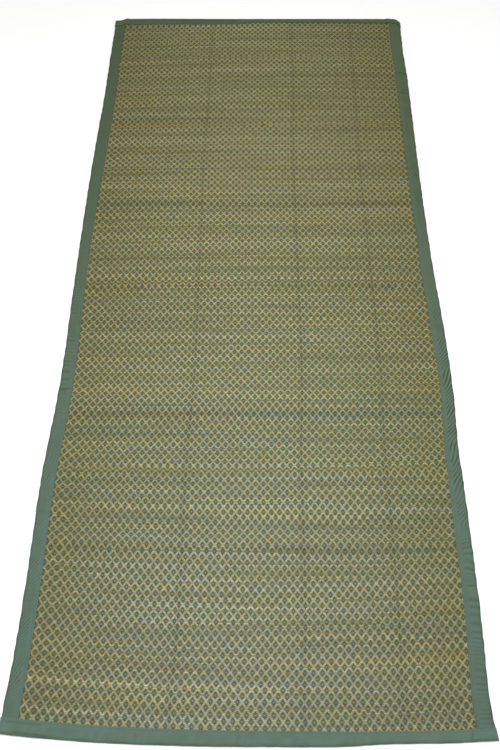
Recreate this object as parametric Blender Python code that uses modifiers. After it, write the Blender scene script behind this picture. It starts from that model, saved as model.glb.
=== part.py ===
"""A woven grass floor mat, bound all round with cotton tape folded over its four edges.

The mat lies flat on the floor: X runs across it, Y along it from its near end, Z up.
"""

import math
from collections import namedtuple

import bmesh
import bpy

# All sizes are in millimetres, and turned to metres where a mesh is made.
MM = 0.001

MAT_WIDTH = 762.0
MAT_LENGTH = 1829.0
PANEL_THICKNESS = 2.0
TAPE_THICKNESS = 1.0
# Air between two pieces that lie on each other.
CLEARANCE = 0.35
# What one layer of tape lifts the piece above it by.
LAYER = TAPE_THICKNESS + CLEARANCE
# From the middle of a tape's cloth to the middle of the panel it is folded over.
FOLD_RADIUS = PANEL_THICKNESS / 2 + CLEARANCE + TAPE_THICKNESS / 2
# The panel is cut this much short of the fold's centre, and comes down to the floor
# this far inside the tape.
PANEL_SHORT = 0.3
RAMP_START = 2.0
RAMP_LENGTH = 12.0
RAMP_STEPS = 6
# The end tapes stand this far out past the side tapes that they cover.
END_TAPE_OVERHANG = 1.0

PANEL_ACROSS_STEPS = 12
PANEL_ALONG_STEPS = 36
FOLD_STEPS = 6

# How far each edge stands out from a straight line, by the distance along it: from the
# near end on the sides, and from the left side on the ends.
Bend = namedtuple("Bend", "along outward")
LEFT_EDGE = (
    Bend(0, 1.5),
    Bend(40, 1.5),
    Bend(120, -1.5),
    Bend(260, -1.5),
    Bend(440, 1.5),
    Bend(620, -4.0),
    Bend(740, -4.0),
    Bend(860, -1.0),
    Bend(1160, 3.0),
    Bend(1400, 2.5),
    Bend(1500, 1.0),
    Bend(1700, 2.5),
    Bend(1829, 2.5),
)
RIGHT_EDGE = (
    Bend(0, 2.5),
    Bend(20, 0.5),
    Bend(60, -2.0),
    Bend(200, 2.0),
    Bend(440, 3.0),
    Bend(510, 2.0),
    Bend(640, 7.0),
    Bend(800, 5.5),
    Bend(980, -0.5),
    Bend(1220, -2.5),
    Bend(1600, -0.5),
    Bend(1700, -2.5),
    Bend(1829, -1.0),
)
NEAR_EDGE = (
    Bend(0, 0.0),
    Bend(40, 3.5),
    Bend(160, 10.5),
    Bend(310, 13.5),
    Bend(400, 13.0),
    Bend(520, 11.5),
    Bend(600, 6.5),
    Bend(690, 4.0),
    Bend(762, 0.0),
)
FAR_EDGE = (
    Bend(0, -11.0),
    Bend(14, -9.0),
    Bend(30, -0.5),
    Bend(300, 0.0),
    Bend(735, 1.0),
    Bend(748, -2.0),
    Bend(762, -13.0),
)

# What shows of each tape, from the mat's edge to the tape's inner edge.
Width = namedtuple("Width", "along wide")
LEFT_TAPE = (
    Width(0, 27.0),
    Width(330, 26.0),
    Width(570, 27.5),
    Width(980, 24.0),
    Width(1170, 27.0),
    Width(1410, 30.0),
    Width(1650, 26.5),
    Width(1829, 26.5),
)
RIGHT_TAPE = (
    Width(0, 29.0),
    Width(210, 26.0),
    Width(330, 27.5),
    Width(600, 25.0),
    Width(930, 28.0),
    Width(1050, 25.5),
    Width(1200, 27.5),
    Width(1650, 29.5),
    Width(1829, 29.0),
)
NEAR_TAPE = (
    Width(0, 25.0),
    Width(300, 23.5),
    Width(500, 22.0),
    Width(600, 18.5),
    Width(762, 18.0),
)
FAR_TAPE = (
    Width(0, 25.0),
    Width(300, 23.0),
    Width(420, 17.5),
    Width(660, 17.5),
    Width(762, 20.0),
)

# The grid's lines beside a panel edge: a share of the way under the tape, then
# millimetres past the tape's inner edge.
Line = namedtuple("Line", "share beyond")
MARGIN_LINES = [Line(0.0, 0.0), Line(0.5, 0.0), Line(1.0, 0.0)] + [
    Line(1.0, RAMP_START + RAMP_LENGTH * step / RAMP_STEPS) for step in range(RAMP_STEPS + 1)
]

# The way across a folded tape's cloth: in along its lower side, round the fold, and back
# over its upper side. The angle is 0 at the outermost point of the fold.
Fold = namedtuple("Fold", "share degrees")
TAPE_FOLD = (
    [Fold(1.0, -90.0), Fold(0.5, -90.0)]
    + [Fold(0.0, -90.0 + 180.0 * step / FOLD_STEPS) for step in range(FOLD_STEPS + 1)]
    + [Fold(0.5, 90.0), Fold(1.0, 90.0)]
)

GRASS_COLOUR = (0.226, 0.231, 0.138, 1.0)
COTTON_COLOUR = (0.122, 0.195, 0.147, 1.0)


def smooth_value(table, place):
    """The value at a place on a smooth curve through a table's rows of place and value."""
    places = [row[0] for row in table]
    values = [row[1] for row in table]
    if place <= places[0]:
        return values[0]
    if place >= places[-1]:
        return values[-1]

    def slope(k):
        low, high = max(k - 1, 0), min(k + 1, len(table) - 1)
        return (values[high] - values[low]) / (places[high] - places[low])

    k = max(i for i, start in enumerate(places) if start <= place)
    span = places[k + 1] - places[k]
    t = (place - places[k]) / span
    from_values = values[k] * (1 + 2 * t) * (1 - t) ** 2 + values[k + 1] * t * t * (3 - 2 * t)
    from_slopes = slope(k) * t * (1 - t) ** 2 - slope(k + 1) * t * t * (1 - t)
    return from_values + span * from_slopes


def mix(low, high, share):
    return low + (high - low) * share


def left_edge(y):
    return -MAT_WIDTH / 2 - smooth_value(LEFT_EDGE, y + MAT_LENGTH / 2)


def right_edge(y):
    return MAT_WIDTH / 2 + smooth_value(RIGHT_EDGE, y + MAT_LENGTH / 2)


def near_edge(x):
    return -MAT_LENGTH / 2 - smooth_value(NEAR_EDGE, x + MAT_WIDTH / 2)


def far_edge(x):
    return MAT_LENGTH / 2 + smooth_value(FAR_EDGE, x + MAT_WIDTH / 2)


def side_margins(x, y):
    """How far a point is inside each side edge, and that side's tape width there."""
    along = y + MAT_LENGTH / 2
    return (
        (x - left_edge(y), smooth_value(LEFT_TAPE, along)),
        (right_edge(y) - x, smooth_value(RIGHT_TAPE, along)),
    )


def end_margins(x, y):
    """How far a point is inside each end edge, and that end's tape width there."""
    along = x + MAT_WIDTH / 2
    return (
        (y - near_edge(x), smooth_value(NEAR_TAPE, along)),
        (far_edge(x) - y, smooth_value(FAR_TAPE, along)),
    )


def cover(margins):
    """1 where a tape lies, falling smoothly to 0 further inside the mat."""
    most = 0.0
    for inside, wide in margins:
        past = (inside - wide - RAMP_START) / RAMP_LENGTH
        t = min(max(1.0 - past, 0.0), 1.0)
        most = max(most, t * t * (3.0 - 2.0 * t))
    return most


def side_cover(x, y):
    return cover(side_margins(x, y))


def end_cover(x, y):
    return cover(end_margins(x, y))


def panel_height(x, y):
    """The height of the middle of the panel, which the tapes' lower sides lift."""
    return PANEL_THICKNESS / 2 + LAYER * (side_cover(x, y) + end_cover(x, y))


def end_fold_radius(x, y):
    """An end tape's fold is wider where it also goes round a side tape."""
    return FOLD_RADIUS + LAYER * side_cover(x, y)


def inward(line, wide, inset):
    """How far a grid line lies inside the mat's edge."""
    return inset + line.share * (wide - inset) + line.beyond


SIDE_INSET = FOLD_RADIUS + TAPE_THICKNESS / 2 + PANEL_SHORT
MARGINS = len(MARGIN_LINES)
COLUMNS = 2 * MARGINS + PANEL_ACROSS_STEPS - 1
ROWS = 2 * MARGINS + PANEL_ALONG_STEPS - 1


def between(index, count, steps, low_place, high_place):
    """A grid line's place: in the low margin, in the high margin, or evenly between."""
    if index < MARGINS:
        return low_place(MARGIN_LINES[index])
    if index >= count - MARGINS:
        return high_place(MARGIN_LINES[count - 1 - index])
    share = (index - MARGINS + 1) / steps
    return mix(low_place(MARGIN_LINES[-1]), high_place(MARGIN_LINES[-1]), share)


def column_x(column, y):
    """Where a grid line along the mat lies, at a distance along it."""
    left_wide, right_wide = (wide for _, wide in side_margins(0.0, y))

    def from_left(line):
        return left_edge(y) + inward(line, left_wide, SIDE_INSET)

    def from_right(line):
        return right_edge(y) - inward(line, right_wide, SIDE_INSET)

    return between(column, COLUMNS, PANEL_ACROSS_STEPS, from_left, from_right)


def row_y(row, x):
    """Where a grid line across the mat lies, at a distance across it."""
    near_wide, far_wide = (wide for _, wide in end_margins(x, 0.0))

    def from_near(line):
        return near_edge(x) + inward(line, near_wide, end_inset(x, near_edge(x)))

    def from_far(line):
        return far_edge(x) - inward(line, far_wide, end_inset(x, far_edge(x)))

    return between(row, ROWS, PANEL_ALONG_STEPS, from_near, from_far)


def end_inset(x, y):
    return end_fold_radius(x, y) + TAPE_THICKNESS / 2 + PANEL_SHORT


def panel_point(column, row):
    x = column_x(column, row_y(row, 0.0))
    y = row_y(row, x)
    return x, y, panel_height(x, y)


def side_tape_point(step, row, edge, direction, wide):
    """A point of a side tape's cloth, at one step of its fold and one row of the mat."""
    fold = TAPE_FOLD[step]
    level_y = row_y(row, 0.0)
    centre = FOLD_RADIUS + TAPE_THICKNESS / 2
    across = smooth_value(wide, level_y + MAT_LENGTH / 2) - centre
    angle = math.radians(fold.degrees)
    x = edge(level_y) + direction * (
        centre + fold.share * across - FOLD_RADIUS * math.cos(angle)
    )
    y = row_y(row, x)
    return x, y, panel_height(x, y) + FOLD_RADIUS * math.sin(angle)


def end_tape_point(step, x, edge, direction, wide):
    """A point of an end tape's cloth, at one step of its fold and one place across."""
    fold = TAPE_FOLD[step]
    radius = end_fold_radius(x, edge(x))
    centre = radius + TAPE_THICKNESS / 2
    across = smooth_value(wide, x + MAT_WIDTH / 2) - centre
    angle = math.radians(fold.degrees)
    y = edge(x) + direction * (centre + fold.share * across - radius * math.cos(angle))
    if fold.share:
        radius = end_fold_radius(x, y)
    return x, y, TAPE_THICKNESS / 2 + radius + radius * math.sin(angle)


def tape_places(edge):
    """Where an end tape's cross-sections stand: past the side tapes, then on the columns."""
    y = edge(0.0)
    places = [left_edge(y) - END_TAPE_OVERHANG]
    places += [column_x(column, y) for column in range(COLUMNS)]
    places += [right_edge(y) + END_TAPE_OVERHANG]
    return places


def add_cloth(name, collection, across, along, point, thickness, colour):
    """A sheet of cloth: a grid laid through the given points, then made thick."""
    mesh = bpy.data.meshes.new(name)
    grid = bmesh.new()
    bmesh.ops.create_grid(grid, x_segments=across - 1, y_segments=along - 1, size=1.0)
    for vertex in grid.verts:
        column = round((vertex.co.x + 1.0) / 2.0 * (across - 1))
        row = round((vertex.co.y + 1.0) / 2.0 * (along - 1))
        x, y, z = point(column, row)
        vertex.co = ((x - CENTRE_X) * MM, (y - CENTRE_Y) * MM, z * MM)
    grid.to_mesh(mesh)
    grid.free()
    mesh.shade_smooth()

    cloth = bpy.data.objects.new(name, mesh)
    collection.objects.link(cloth)
    solid = cloth.modifiers.new("thickness", "SOLIDIFY")
    solid.thickness = thickness * MM
    solid.offset = 0.0
    solid.use_even_offset = True
    solid.use_quality_normals = True

    material = bpy.data.materials.new(name)
    material.use_nodes = True
    shader = material.node_tree.nodes["Principled BSDF"]
    shader.inputs["Base Color"].default_value = colour
    shader.inputs["Roughness"].default_value = 0.85
    material.diffuse_color = colour
    mesh.materials.append(material)
    return cloth


def add_side_tape(name, collection, edge, direction, wide):
    def point(step, row):
        return side_tape_point(step, row, edge, direction, wide)

    add_cloth(name, collection, len(TAPE_FOLD), ROWS, point, TAPE_THICKNESS, COTTON_COLOUR)


def add_end_tape(name, collection, edge, direction, wide):
    places = tape_places(edge)

    def point(step, place):
        return end_tape_point(step, places[place], edge, direction, wide)

    add_cloth(
        name, collection, len(TAPE_FOLD), len(places), point, TAPE_THICKNESS, COTTON_COLOUR
    )


def middle_of_mat():
    """The middle of the mat's uneven outline, which stands over the origin."""
    levels = [row_y(row, 0.0) for row in range(ROWS)]
    near_places, far_places = tape_places(near_edge), tape_places(far_edge)
    ends = near_places + far_places
    left = min([left_edge(y) for y in levels] + ends)
    right = max([right_edge(y) for y in levels] + ends)
    near = min(near_edge(x) for x in near_places)
    far = max(far_edge(x) for x in far_places)
    return (left + right) / 2, (near + far) / 2


CENTRE_X, CENTRE_Y = middle_of_mat()


def main():
    for old in list(bpy.data.objects):
        bpy.data.objects.remove(old)

    mat = bpy.data.collections.new("grass_floor_mat")
    bpy.context.scene.collection.children.link(mat)

    add_cloth("woven_panel", mat, COLUMNS, ROWS, panel_point, PANEL_THICKNESS, GRASS_COLOUR)
    add_side_tape("left_binding", mat, left_edge, 1.0, LEFT_TAPE)
    add_side_tape("right_binding", mat, right_edge, -1.0, RIGHT_TAPE)
    add_end_tape("near_binding", mat, near_edge, 1.0, NEAR_TAPE)
    add_end_tape("far_binding", mat, far_edge, -1.0, FAR_TAPE)


main()
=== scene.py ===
"""The looks of a woven grass floor mat with cotton tape round its edges, on a pale studio floor.

Lengths are in millimetres, and turned to metres where a mesh, lamp or camera is made. X runs
across the mat, Y along it and Z up, and x and y are measured from the middle between its four
corners. In the tables, "along" is measured from the near end and "across" from the left side.
"""

import functools
import math
from collections import namedtuple
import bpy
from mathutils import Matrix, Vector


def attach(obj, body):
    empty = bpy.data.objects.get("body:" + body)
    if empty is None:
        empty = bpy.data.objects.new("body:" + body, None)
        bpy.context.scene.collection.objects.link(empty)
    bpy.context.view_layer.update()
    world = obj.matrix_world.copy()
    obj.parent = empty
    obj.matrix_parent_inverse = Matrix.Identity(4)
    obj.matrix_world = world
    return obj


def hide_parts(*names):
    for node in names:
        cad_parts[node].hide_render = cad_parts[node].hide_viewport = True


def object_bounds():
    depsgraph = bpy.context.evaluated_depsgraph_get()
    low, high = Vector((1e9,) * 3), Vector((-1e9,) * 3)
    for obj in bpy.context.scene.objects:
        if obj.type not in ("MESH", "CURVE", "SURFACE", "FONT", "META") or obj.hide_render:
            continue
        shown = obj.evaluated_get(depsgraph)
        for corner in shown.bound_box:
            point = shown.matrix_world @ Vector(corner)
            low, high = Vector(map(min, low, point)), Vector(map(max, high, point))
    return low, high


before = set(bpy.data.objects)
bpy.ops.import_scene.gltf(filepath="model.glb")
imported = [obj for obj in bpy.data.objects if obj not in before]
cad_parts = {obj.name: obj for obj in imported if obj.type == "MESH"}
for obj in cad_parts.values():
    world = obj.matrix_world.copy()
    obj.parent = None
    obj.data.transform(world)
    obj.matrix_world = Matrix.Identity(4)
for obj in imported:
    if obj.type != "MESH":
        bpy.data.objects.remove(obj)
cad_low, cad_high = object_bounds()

from types import SimpleNamespace

import bpy
import numpy as np
from mathutils import Matrix, Vector

MM = 0.001


def table(columns, *rows):
    """Rows of values with named columns."""
    row_type = namedtuple("Row", columns)
    return tuple(row_type(*row) for row in rows)


# The mat's construction, the same as the solids'.
MAT_WIDTH = 762.0
MAT_LENGTH = 1829.0
PANEL_THICKNESS = 2.0
TAPE_THICKNESS = 1.0
CLEARANCE = 0.35
LAYER = TAPE_THICKNESS + CLEARANCE
FOLD_RADIUS = PANEL_THICKNESS / 2 + CLEARANCE + TAPE_THICKNESS / 2
PANEL_SHORT = 0.3
RAMP_START = 2.0
RAMP_LENGTH = 12.0
END_TAPE_OVERHANG = 1.0
# How many places of an edge are looked at to find its outermost one.
OUTLINE_PLACES = 400

# How far each edge stands out from a straight line.
LEFT_EDGE = table(
    "along outward",
    (0, 1.5), (40, 1.5), (120, -1.5), (260, -1.5), (440, 1.5), (620, -4.0), (740, -4.0),
    (860, -1.0), (1160, 3.0), (1400, 2.5), (1500, 1.0), (1700, 2.5), (1829, 2.5),
)
RIGHT_EDGE = table(
    "along outward",
    (0, 2.5), (20, 0.5), (60, -2.0), (200, 2.0), (440, 3.0), (510, 2.0), (640, 7.0), (800, 5.5),
    (980, -0.5), (1220, -2.5), (1600, -0.5), (1700, -2.5), (1829, -1.0),
)
NEAR_EDGE = table(
    "across outward",
    (0, 0.0), (40, 3.5), (160, 10.5), (310, 13.5), (400, 13.0), (520, 11.5), (600, 6.5),
    (690, 4.0), (762, 0.0),
)
FAR_EDGE = table(
    "across outward",
    (0, -11.0), (14, -9.0), (30, -0.5), (300, 0.0), (715, 0.8), (738, -1.5), (750, -4.5),
    (762, -18.0),
)

# What shows of each tape, from the mat's edge to the tape's inner edge.
LEFT_TAPE = table(
    "along wide",
    (0, 27.0), (330, 26.0), (570, 27.5), (980, 24.0), (1170, 27.0), (1410, 30.0), (1650, 26.5),
    (1829, 26.5),
)
RIGHT_TAPE = table(
    "along wide",
    (0, 29.0), (210, 26.0), (330, 27.5), (600, 25.0), (930, 28.0), (1050, 25.5), (1200, 27.5),
    (1650, 29.5), (1829, 29.0),
)
NEAR_TAPE = table("across wide", (0, 25.0), (300, 23.5), (500, 22.0), (600, 18.5), (762, 18.0))
FAR_TAPE = table("across wide", (0, 25.0), (300, 23.0), (420, 17.5), (660, 17.5), (762, 20.0))

# The weave: a diamond twill that repeats every 8 cotton ends and every 8 grass picks. The ends
# run along the mat and the picks across it.
REPEAT = 8
HALF_REPEAT = REPEAT // 2
END_PITCH = 14.16 / REPEAT
PICK_PITCH = 18.7 / REPEAT
# Where the first column of straw crossings inside the left tape lies, across the mat.
FIRST_CROSSING = 28.0

# Columns of diamonds that were set up wider or narrower than the rest.
COLUMN_FAULTS = table("across extra", (50, 2.7), (262, -2.1), (472, -1.4), (627, -1.7))
# The numbers of the ends that are set out, counted from that first column. The ones past the
# edges are cut off.
FIRST_END = -24
LAST_END = 440

# How far the whole weave lies to the right of its place between the two edges.
SIDEWAYS_DRIFT = table(
    "along right",
    (0, -2.5), (220, -1.0), (480, -1.5), (620, -2.5), (1080, 1.0), (1240, -1.5), (1600, 0.0),
    (1829, 0.0),
)

# How far the picks at the mat's middle lie past where even spacing would put them, where they
# were beaten up more or less tightly.
BEATING = table(
    "along beyond",
    (0, 5.5), (66, 7.5), (150, 4.0), (294, 4.5), (318, 8.5), (342, 4.5), (414, 7.0), (438, 4.5),
    (466, 5.0), (542, 2.0), (614, 6.0), (662, 2.0), (758, -0.5), (782, -2.5), (854, 1.0),
    (880, 0.5), (904, 5.0), (1054, 8.5), (1126, 7.5), (1150, 10.5), (1246, 12.0), (1294, 10.0),
    (1318, 11.5), (1342, 9.0), (1430, 8.0), (1502, 13.5), (1574, 11.5), (1646, 13.0), (1730, 9.5),
    (1829, 8.5),
)

# Places where the weaver lost the pattern and left picks out.
PICK_FAULTS = table("along left_out", (460, 4), (907, 4), (1405, 2), (1664, 2))
# How far past the mat's two ends picks are set out, and how closely their places are worked out.
PICK_MARGIN = 60.0
PICK_SEARCH = 0.5

# How far each pick is from straight: its rise from left to right, and how far its two ends lie
# past its middle.
PICK_SLOPE = table(
    "along rise",
    (0, -4.0), (80, -4.0), (150, 4.0), (300, 2.5), (414, 5.5), (470, 13.0), (600, 6.0),
    (640, 12.0), (662, 9.0), (745, 13.0), (830, 8.0), (1078, 19.0), (1126, 11.0), (1174, 9.0),
    (1390, 18.0), (1430, 12.5), (1502, 8.5), (1550, 14.5), (1646, 17.0), (1690, 12.5),
    (1829, 8.0),
)
PICK_BOW = table(
    "along beyond",
    (0, 14.5), (246, 10.5), (310, 6.0), (440, 4.0), (480, 7.5), (614, 0.5), (806, 2.0),
    (898, -5.0), (940, -2.5), (1030, -5.5), (1102, -2.5), (1246, -6.0), (1318, -10.5),
    (1390, -4.5), (1478, -10.0), (1622, -12.0), (1829, -9.0),
)

# The grass isn't one colour: bands of picks that are paler or darker, warmer or cooler. A band
# runs across the mat from start to stop. Light is the change in brightness and warm the shift
# from blue to red, both as shares.
STREAKS = table(
    "along wide start stop light warm",
    (50, 9, 420, 762, -0.17, 0.02),
    (73, 6, 0, 430, 0.3, 0.12),
    (100, 9, 0, 300, -0.12, 0.12),
    (115, 6, 380, 762, 0.04, 0.28),
    (144, 8, 460, 762, -0.17, 0.10),
    (189, 8, 600, 762, -0.12, 0.16),
    (204, 12, 0, 762, 0.07, 0.02),
    (249, 10, 0, 762, 0.08, 0.00),
    (305, 10, 0, 762, -0.17, -0.02),
    (327, 6, 0, 762, 0.11, 0.04),
    (355, 8, 480, 762, -0.14, 0.00),
    (386, 12, 0, 762, 0.07, 0.00),
    (437, 8, 0, 300, -0.14, -0.12),
    (464, 6, 0, 762, 0.11, 0.06),
    (536, 9, 0, 300, -0.14, -0.10),
    (582, 12, 0, 330, -0.26, 0.08),
    (582, 12, 330, 762, -0.23, -0.14),
    (603, 7, 0, 250, -0.14, -0.16),
    (636, 6, 0, 762, 0.15, 0.12),
    (685, 12, 0, 762, 0.07, 0.00),
    (804, 8, 0, 280, -0.14, 0.00),
    (841, 8, 0, 762, -0.09, 0.00),
    (900, 8, 0, 350, -0.17, 0.10),
    (900, 8, 350, 762, -0.17, -0.12),
    (920, 8, 250, 762, 0.04, 0.06),
    (955, 9, 440, 762, -0.14, 0.00),
    (976, 9, 0, 320, -0.14, 0.10),
    (1016, 12, 0, 762, 0.07, 0.00),
    (1050, 9, 460, 762, -0.17, -0.10),
    (1103, 9, 380, 762, 0.09, 0.10),
    (1138, 13, 0, 762, -0.26, -0.05),
    (1200, 14, 0, 762, 0.11, 0.00),
    (1252, 9, 0, 762, -0.12, 0.00),
    (1351, 14, 0, 762, 0.10, 0.00),
    (1386, 9, 460, 762, -0.14, -0.12),
    (1432, 9, 0, 330, -0.14, 0.00),
    (1473, 9, 430, 762, -0.14, 0.00),
    (1529, 9, 430, 762, -0.14, 0.00),
    (1556, 9, 0, 762, 0.09, 0.00),
    (1592, 10, 0, 762, -0.12, 0.00),
    (1662, 10, 0, 762, 0.11, 0.05),
    (1745, 10, 300, 762, -0.17, -0.10),
)

# How far a band reaches to each side of its line, as a share of its width, and over how many
# millimetres its ends fade.
STREAK_REACH = 0.6
STREAK_FADE = 50.0

# How the colours of the weave and of the tapes drift from the near end to the far end, as a
# factor on each channel. Most of this is painted light: the light falling off towards the far
# end, and a painted cool sheen that is strongest over the near part.
GRASS_DRIFT_AND_PAINTED_LIGHT = table(
    "along red green blue",
    (0, 0.97, 0.96, 0.97),
    (250, 1.0, 1.0, 1.0),
    (500, 1.04, 1.05, 1.02),
    (900, 1.07, 1.04, 0.95),
    (1200, 1.06, 1.02, 0.88),
    (1829, 0.93, 0.93, 0.76),
)
# How much darker each channel is at the mat's two sides than along its middle: a painted
# sheen that leaves the middle lighter and cooler.
SIDES_DARKER_PAINTED_SHEEN = table(
    "along red green blue",
    (0, 0.25, 0.29, 0.53),
    (700, 0.25, 0.29, 0.48),
    (1000, 0.24, 0.26, 0.37),
    (1829, 0.24, 0.26, 0.41),
)
TAPE_DRIFT_AND_PAINTED_LIGHT = table(
    "along red green blue",
    (0, 1.0, 0.97, 1.0),
    (300, 1.05, 1.02, 1.03),
    (600, 1.02, 0.96, 0.9),
    (900, 0.93, 0.87, 0.74),
    (1200, 0.82, 0.75, 0.58),
    (1500, 0.77, 0.7, 0.46),
    (1829, 0.7, 0.63, 0.37),
)

# Where columns are crowded, less straw shows between the yarns.
CROWDED_SHADE = 0.2
CROWDED_HALF = 3.5

# Where picks were left out, the straw has bunched up: it is shaded and looks yellower.
FAULT_SHADE = 0.03
FAULT_WARM = 0.14
FAULT_HALF = 4.5

# Dark knots in the yarn, from their two places and how much darker they are.
KNOTS = table("across along dark", (430, 221, 0.6), (400, 1405, 0.8))
KNOT_HALF = 3.5

# The relief of the weave's face: how deep it is below the straw arms, and how much of that height
# is left at the middle of a cotton diamond and at its corners beside and beyond that.
RELIEF_DEPTH = 0.7
MIDDLE_HEIGHT = 0.75
SIDE_HEIGHT = 0.35
TIP_HEIGHT = 0.0
# How many of the face's steps one step of the underside takes.
UNDER_STEP = 4
# Under an end tape the last picks are bent to meet the panel's cut end: how far short of the
# tape's inner edge that stops, and the least that is bent.
BEND_MARGIN = 1.0
LEAST_BENT = 4.0

# The tape's cloth is thinner than its solid, which also holds the hem turned under its edge: how
# tight the turn is, where the hem's cut edge shows, and how far the cloth sags before it.
CLOTH = 0.45
HEM_TURN = 0.275
HEM_LINE = 10.5
TAPE_SAG = 0.3
TAPE_STEP = 2.0
SAG_STEPS = 5
FOLD_ANGLES = (0, 18, 36, 54, 72, 90)
HEM_ANGLES = (45, 0, -45, -90)

# The ends of an end tape are pressed shut round the side tape's edge: over how far, how much of
# its height is left, and where its rows of points lie there, from the end.
PRESSED = 3.35
PRESSED_SHARE = 0.07
PRESSED_ROWS = (0.0, 0.08, 0.3, 0.7, 1.3, 2.2, PRESSED)

# The cloth of a tape's upper side: how far back from its inner edge, and how far it sinks.
HEM_TOP = table(
    "back sink",
    (8.5, 0.1), (7.0, 0.0), (5.0, 0.0), (3.8, 0.05), (3.0, 0.25), (2.2, 0.05), (1.0, 0.0),
)
HEM_UNDER = (1.5, 4.5, 8.0)

# Where the sewing puckers a tape: how deep the folds are, how steeply they climb across it, and
# how far apart they are.
LEFT_PUCKER_DEPTH = table(
    "along deep",
    (0, 0.25), (150, 0.6), (300, 0.45), (450, 0.35), (600, 0.22), (720, 0.3), (880, 0.15),
    (1829, 0.12),
)
RIGHT_PUCKER_DEPTH = table(
    "along deep",
    (0, 0.2), (220, 0.3), (360, 0.4), (440, 0.85), (580, 1.0), (740, 0.85), (860, 0.45),
    (1060, 0.4), (1160, 0.9), (1250, 0.8), (1340, 0.5), (1440, 0.95), (1540, 0.7), (1640, 0.3),
    (1829, 0.2),
)
END_PUCKER_DEPTH = table("across deep", (0, 0.08), (762, 0.05))
LEFT_PUCKER_CLIMB = table("along climb", (0, 1.2), (500, 1.0), (640, 0.0), (1829, 0.0))
RIGHT_PUCKER_CLIMB = table("along climb", (0, 0.0), (240, 0.0), (360, 1.2), (1829, 1.2))
END_PUCKER_CLIMB = table("across climb", (0, 0.4), (762, 0.4))
LEFT_PUCKER_PITCH = 7.0
RIGHT_PUCKER_PITCH = 9.5
END_PUCKER_PITCH = 23.0
# The puckers stop this far from the inner edge, and are full this far from it.
PUCKER_STOP = 6.0
PUCKER_FULL = 11.0
# Nothing keeps the puckers even: waves along the tape move them, by so many pitches, and make
# some of them shallower.
PUCKER_WANDER = table("moved length start", (0.7, 31.0, 0.0), (0.5, 13.0, 2.0))
PUCKER_UNEVEN = 0.25
PUCKER_SHARPNESS = 1.5
# How much of a pucker's depth stands above the cloth's own level, and from what share of it a
# fold looks darker.
PUCKER_RISE = 0.4
PUCKER_SHADE_START = 0.3
# Waves that wander: their length and how far they wander, in radians, over what longer length.
PUCKER_WAVE = (7.3, 3.0, 41.0)
EDGE_WAVE = (5.1, 2.0, 23.0)
EDGE_SLOW_WAVE = 12.7
EDGE_SLOW_SHARE = 0.6
EDGE_WAVE_REACH = 9.0

# Single creases and seams in a tape: where each one starts and stops, along the tape and inside
# the mat's edge, and how deep it is.
LEFT_CREASES = table(
    "start start_inside stop stop_inside deep",
    (632, 0, 634, 27, 0.3),
    (1742, 0, 1745, 26, 0.5),
)
RIGHT_CREASES = table(
    "start start_inside stop stop_inside deep",
    (8, 0, 14, 28, 0.3),
    (1518, 0, 1524, 28, 0.4),
    (1598, 0, 1604, 28, 0.4),
)
NEAR_CREASES = table(
    "start start_inside stop stop_inside deep",
    (2, 19, 66, 19, 0.25),
    (18, 5, 76, 4, 0.25),
    (724, 0, 727, 18, 0.2),
)
FAR_CREASES = table(
    "start start_inside stop stop_inside deep",
    (45, 13, 330, 11, 0.3),
)
CREASE_HALF = 1.4
CREASE_END = 8.0
CREASE_OVERRUN = 1.0

# How much a deep fold darkens the tape, how much darker it is along its outer edge and where that
# turns under, and how much bluer on its hem.
CREASE_SHADE = 1.25
OUTER_SHADE = 0.3
OUTER_WIDE = 6.0
OUTER_UNEVEN = 0.3
OUTER_WAVE = 9.0
UNDER_SHADE = 0.5
UNDER_START = 0.4
UNDER_FULL = -0.5
HEM_BLUER = 0.04
HEM_BLEND = 2.0
# How far the stitches draw the outer edge in and let it out.
SIDE_RIPPLE = 0.35
END_RIPPLE = 0.12

# The stitches: where a row starts and how far it is from the tape's inner edge, their length and
# the gap between two, and how they arch out of the cloth and dip back into it, in threads.
STITCH_START = 8.0
STITCH_INSET = 3.0
STITCH_LENGTH = 3.0
STITCH_GAP = 0.6
THREAD = 0.5
STITCH_ARCH = 0.55
STITCH_DIP = 0.3
STITCH_TIP_SHARE = 0.65
STITCH_RINGS = 5
THREAD_SIDES = 6

# Finishes. A hex colour is sRGB. Four numbers are a linear colour, or a factor on each channel.
# Two numbers for a roughness are the range that it varies over.
GRASS_SHADES = ("B1A881", "A59D74", "BCB48F", "989269", "B2A67A", "A5A07D")
GRASS_ROUGHNESS = 0.5
GRASS_IOR = 1.45
COTTON_ROUGHNESS = 0.75
COTTON_IOR = 1.5
TAPE_ROUGHNESS = (0.85, 0.95)
TAPE_SHEEN = 0.15
THREAD_ROUGHNESS = (0.7, 0.85)
PAPER_DARK = (0.86, 0.86, 0.86, 1.0)
PAPER_LIGHT = (0.9, 0.9, 0.9, 1.0)
PAPER_ROUGHNESS = (0.88, 0.96)
PAPER_IOR = 1.5
PAPER_GLOW = 0.3

# The drawn pattern, in threads: half the width of a straw arm, of one where two arms cross, how
# uneven that is, and how much wider it gets to the mat's far end, from what share of the way.
ARM_HALF = 1.3
CROSSING_HALF = 1.8
ARM_UNEVEN = 0.2
ARM_SPREAD = 0.45
ARM_SPREAD_START = 0.3
# How far from an arm's middle the green ring's middle and the dot are.
RING_MIDDLE = 2.5
DOT_START = 3.65
# How square a thread is across. A strip of grass is flatter than a yarn.
COTTON_SQUARE = 2.0
GRASS_SQUARE = 3.0
# How many ends a strip of grass reaches over.
STRIP_ENDS = 150.0

# What part of a noise's values is spread out: nearly all of them, fewer, and only the middle.
NOISE_WIDE = (0.25, 0.75)
NOISE = (0.3, 0.7)
NOISE_MIDDLE = (0.35, 0.65)

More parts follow.
